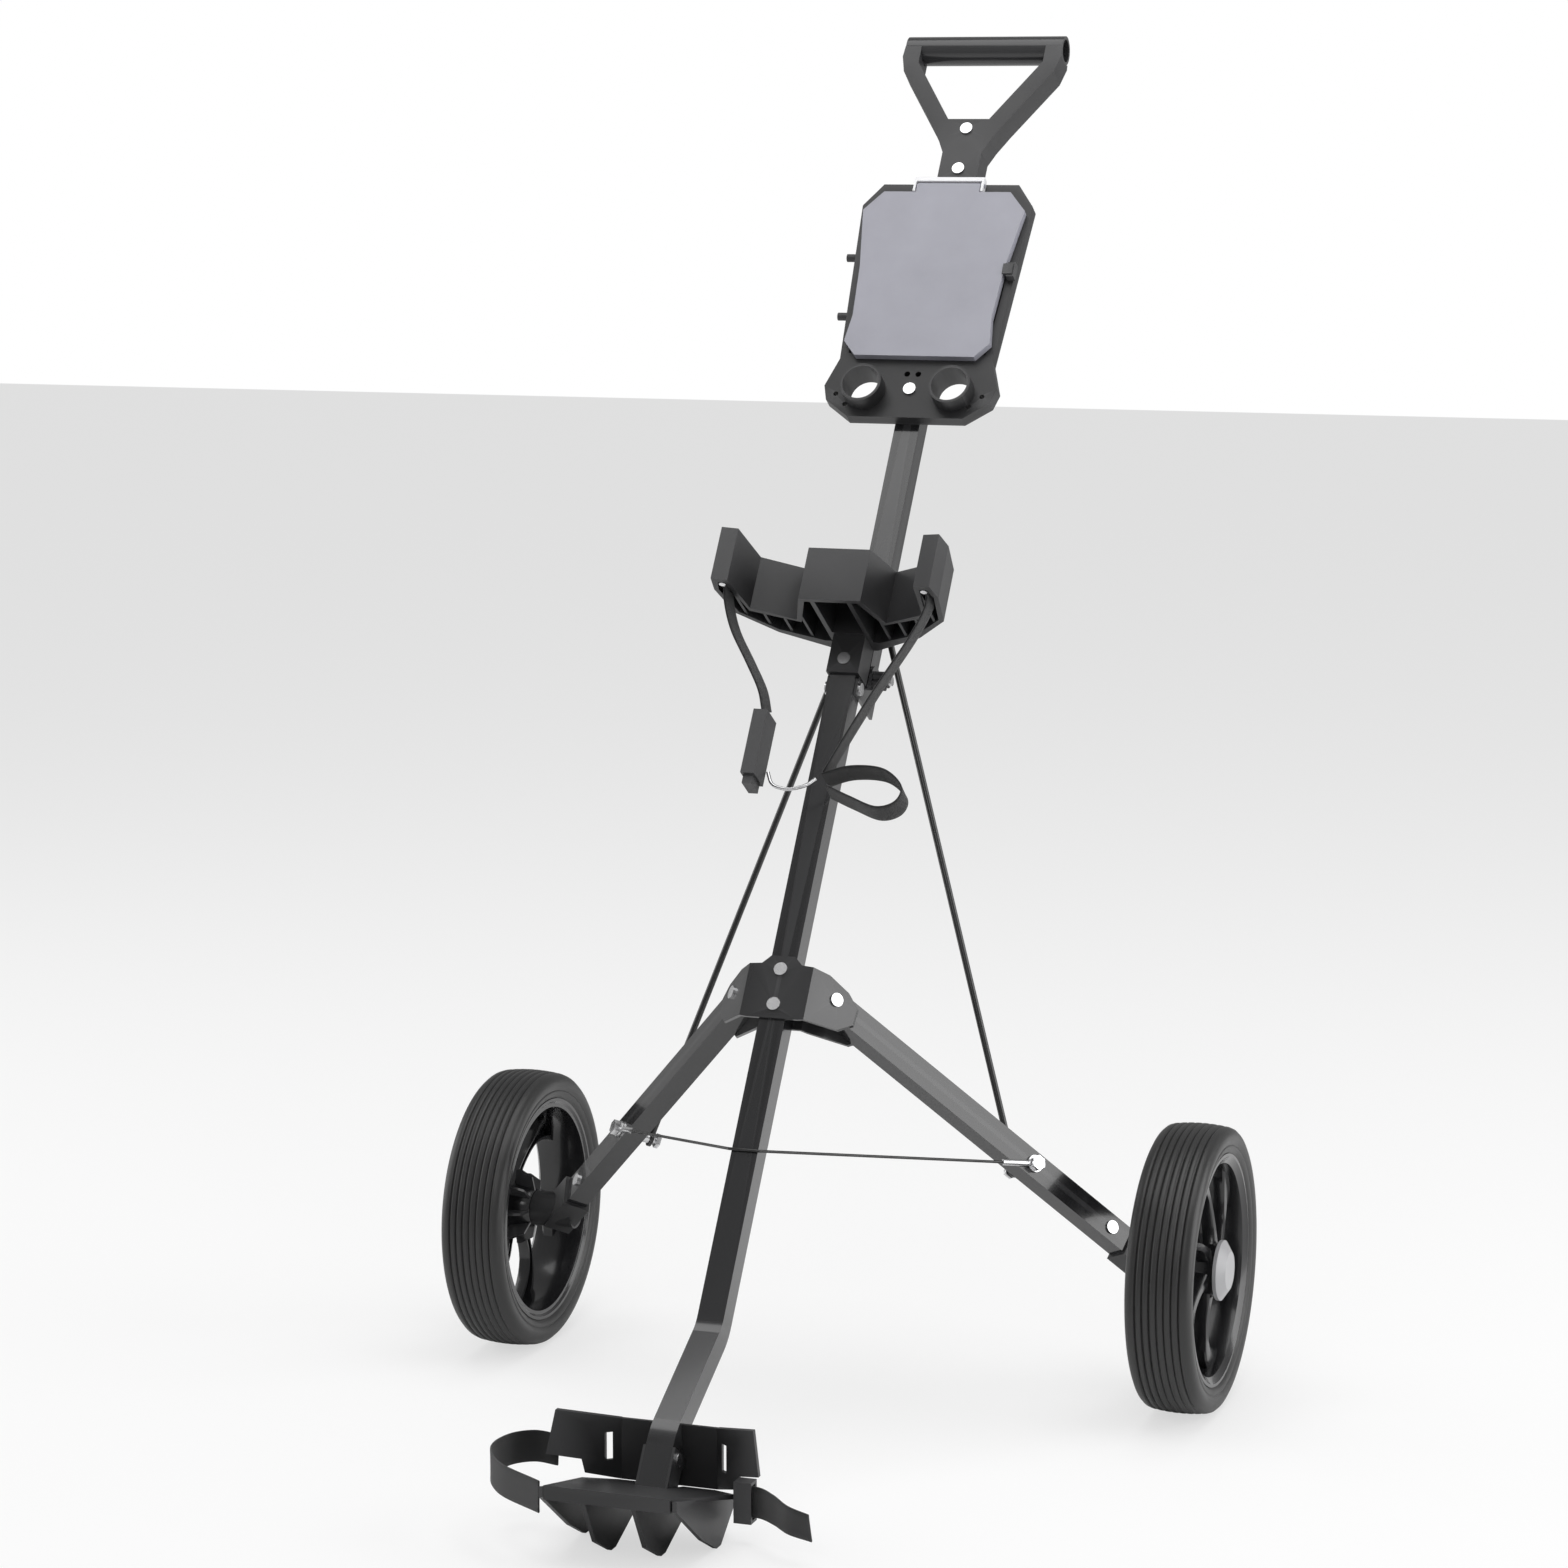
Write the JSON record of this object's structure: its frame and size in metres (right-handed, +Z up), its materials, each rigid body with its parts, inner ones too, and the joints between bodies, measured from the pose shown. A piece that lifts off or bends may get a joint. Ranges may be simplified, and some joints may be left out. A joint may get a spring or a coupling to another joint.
{
  "type": "golf push cart",
  "caption": "Folding golf pull cart with a square tube mast, splayed wheeled legs, bag rest, score board, bag platform and straps.",
  "frame": {"origin": "on the ground, under the middle of the overall box", "axes": "+Z up, -Y towards the bag side, where the platform is, +Y towards the handle, X along the wheels' axles"},
  "size_m": [0.665, 0.9436, 1.1324],
  "materials": {
    "frame_paint": "gloss black paint on square steel tube",
    "bracket_paint": "gloss black paint on pressed steel",
    "bright_steel": "bright zinc-plated steel",
    "black_plastic": "satin black moulded plastic",
    "gloss_black": "gloss black moulded plastic",
    "clear_plastic": "clear moulded plastic, slightly smoked",
    "webbing": "black woven webbing",
    "black_wire": "black coated steel rod and wire",
    "tyre": "black foam rubber tyre with grooves round its tread",
    "grey_cap": "grey plastic cap"
  },
  "bodies": {
    "frame": {"lower_tube": "frame_paint", "pivot_bracket_front": "bracket_paint", "pivot_bracket_rear": "bracket_paint", "bracket_rivets": "bright_steel", "leg_pivot_pins": "bright_steel", "hinge_cheeks": "frame_paint", "cheek_rivet": "bright_steel", "pivot_bolt": "bright_steel", "tube_plug": "black_plastic", "cradle": "black_plastic", "cradle_screw": "bright_steel", "arm_pins": "bright_steel", "foot_bracket": "black_plastic", "toe_platform": "black_plastic", "foot_bolt": "bright_steel", "upper_strap_left": "webbing", "upper_strap_right": "webbing", "upper_strap_tail": "webbing", "lower_strap_left": "webbing", "lower_strap_right": "webbing", "cam_buckle": "black_plastic", "strap_hook": "bright_steel", "strap_keeper": "black_plastic", "cable_left": "black_wire", "cable_right": "black_wire"},
    "mast": {"upper_tube": "frame_paint", "mast_plug": "black_plastic", "cross_bolt": "bright_steel", "handle_yoke": "black_plastic", "grip": "gloss_black", "handle_rivets": "bright_steel", "score_tray": "black_plastic", "tray_bolts": "bright_steel", "lid_hinge": "clear_plastic", "lid_catch": "black_plastic", "pencil_clips": "black_plastic"},
    "score_lid": {"score_lid": "clear_plastic"},
    "knob": {"lock_knob": "black_plastic"},
    "leg_left": {"leg_tube_left": "frame_paint", "leg_bolts_left": "bright_steel", "axle_block_left": "black_plastic", "axle_left": "bright_steel", "cable_terminal_left": "bright_steel"},
    "wheel_left": {"tyre_left": "tyre", "rim_left": "gloss_black", "wheel_bushes_left": "black_plastic", "hub_cap_left": "grey_cap"},
    "rod_left": {"fold_rod_left": "black_wire"},
    "leg_right": {"leg_tube_right": "frame_paint", "leg_bolts_right": "bright_steel", "axle_block_right": "black_plastic", "axle_right": "bright_steel", "cable_terminal_right": "bright_steel"},
    "wheel_right": {"tyre_right": "tyre", "rim_right": "gloss_black", "wheel_bushes_right": "black_plastic", "hub_cap_right": "grey_cap"},
    "rod_right": {"fold_rod_right": "black_wire"}
  },
  "joints": [
    {"name": "mast_fold", "type": "hinge", "parent": "frame", "child": "mast", "pos_m": [0, 0.10449, 0.59408], "axis": [-1, 0, 0], "range_deg": [0, 170]},
    {"name": "lock_knob_turn", "type": "hinge", "parent": "frame", "child": "knob", "pos_m": [0, 0.10449, 0.59408], "axis": [1, 0, 0], "range_deg": [0, 360]},
    {"name": "score_lid_open", "type": "hinge", "parent": "mast", "child": "score_lid", "pos_m": [0, 0.34793, 1.00114], "axis": [-1, 0, 0], "range_deg": [0, 90]},
    {"name": "leg_fold_left", "type": "hinge", "parent": "frame", "child": "leg_left", "pos_m": [-0.0423, -0.08192, 0.35867], "axis": [-0.7547, -0.5439, 0.3669], "range_deg": [0, 50.45], "deforming": ["cable_left"]},
    {"name": "rod_swing_left", "type": "hinge", "parent": "leg_left", "child": "rod_left", "pos_m": [-0.16135, 0.02978, 0.20305], "axis": [0.7547, 0.5439, -0.3669], "range_deg": [0, 32.9]},
    {"name": "wheel_spin_left", "type": "hinge", "parent": "leg_left", "child": "wheel_left", "pos_m": [-0.30051, 0.0792, 0.12], "axis": [1, 0, 0], "continuous": true},
    {"name": "leg_fold_right", "type": "hinge", "parent": "frame", "child": "leg_right", "pos_m": [0.0423, -0.08192, 0.35867], "axis": [-0.7547, 0.5439, -0.3669], "range_deg": [0, 50.45], "deforming": ["cable_right"]},
    {"name": "rod_swing_right", "type": "hinge", "parent": "leg_right", "child": "rod_right", "pos_m": [0.16135, 0.02978, 0.20305], "axis": [0.7547, -0.5439, 0.3669], "range_deg": [0, 32.9]},
    {"name": "wheel_spin_right", "type": "hinge", "parent": "leg_right", "child": "wheel_right", "pos_m": [0.30051, 0.0792, 0.12], "axis": [1, 0, 0], "continuous": true}
  ],
  "couplings": [
    {"joint": "leg_fold_left", "follows": "mast_fold", "ratio": 0.29619},
    {"joint": "rod_swing_left", "follows": "mast_fold", "ratio": 0.19291},
    {"joint": "leg_fold_right", "follows": "mast_fold", "ratio": 0.29619},
    {"joint": "rod_swing_right", "follows": "mast_fold", "ratio": 0.19291}
  ]
}
